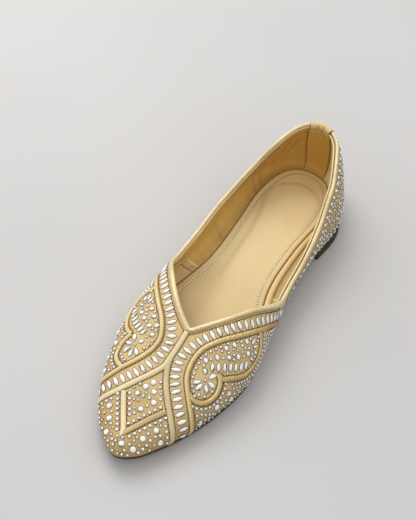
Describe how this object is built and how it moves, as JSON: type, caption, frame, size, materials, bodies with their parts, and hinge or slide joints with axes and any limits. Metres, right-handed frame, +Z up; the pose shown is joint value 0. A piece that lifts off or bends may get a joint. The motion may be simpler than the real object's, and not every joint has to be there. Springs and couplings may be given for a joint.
{
  "type": "pointed toe flat",
  "caption": "Low heeled pointed toe flat with a V throat, bound topline, padded insole, thin sole and low stacked heel.",
  "frame": {"origin": "Centre of the bounding box from above, on the ground under the heel and the forefoot tread.", "axes": "+Z up. The toe points to -Y and the heel to +Y. +X is the wearer's left for this right shoe."},
  "size_m": [0.0799, 0.2557, 0.0577],
  "materials": {
    "gold_leather": "matte pale gold leather",
    "pale_gold_binding": "soft metallic pale gold piping",
    "gold_rib": "soft metallic gold raised cord work",
    "sock_leather": "matte light gold sock leather",
    "lining_leather": "matte tan lining leather",
    "sole_brown": "satin dark brown sole leather",
    "heel_brown": "satin dark brown stacked leather",
    "dark_thread": "brown twisted thread",
    "pale_thread": "tan twisted thread",
    "stone_crystal": "faceted foil-backed crystal"
  },
  "bodies": {
    "root": {"upper": "gold_leather", "topline_binding": "pale_gold_binding", "footbed": "sock_leather", "outsole": "sole_brown", "heel_block": "heel_brown", "heel_tab": "lining_leather"}
  },
  "joints": []
}
